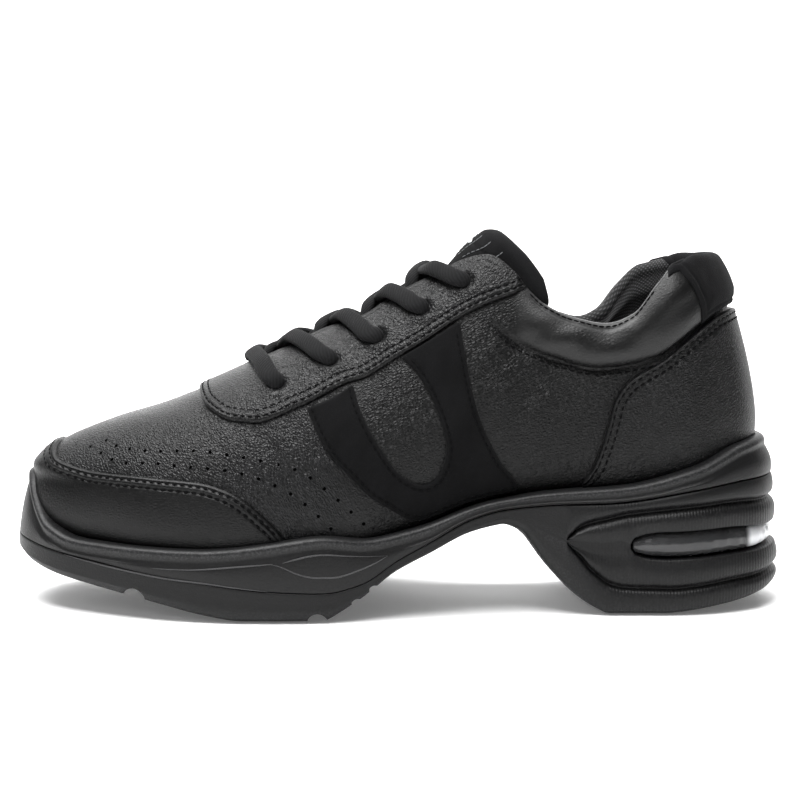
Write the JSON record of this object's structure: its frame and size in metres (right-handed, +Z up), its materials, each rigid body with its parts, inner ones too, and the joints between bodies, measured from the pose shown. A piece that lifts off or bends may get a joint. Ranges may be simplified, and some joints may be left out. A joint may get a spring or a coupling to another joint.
{
  "type": "dance shoe",
  "caption": "Black lace-up dance trainer with a deep arch, a tall ribbed heel, a clear air tube in its slot and suede side saddles.",
  "frame": {"origin": "on the floor, under the middle of the shoe's box", "axes": "+Z up; the toe points along -X; -Y is the outer side of the foot and +Y the inner side"},
  "size_m": [0.262, 0.095, 0.1303],
  "materials": {
    "leather": "satin full grain",
    "suede": "matte nap",
    "sole_rubber": "matte moulded",
    "clear_tube": "clear, glossy",
    "mesh_fabric": "matte knitted mesh",
    "tongue_fabric": "matte, brushed",
    "lace_cord": "matte woven"
  },
  "bodies": {
    "root": {"outsole": "sole_rubber", "midsole": "sole_rubber", "air_tube": "clear_tube", "insole": "mesh_fabric", "upper": "leather", "toe_cap": "leather", "eyestay": "leather", "saddle_lateral": "suede", "saddle_medial": "suede", "heel_counter": "leather", "heel_tab": "suede", "tongue": "tongue_fabric", "lace_1": "lace_cord", "lace_2": "lace_cord", "lace_3": "lace_cord", "lace_4": "lace_cord", "lace_5": "lace_cord"}
  },
  "joints": []
}
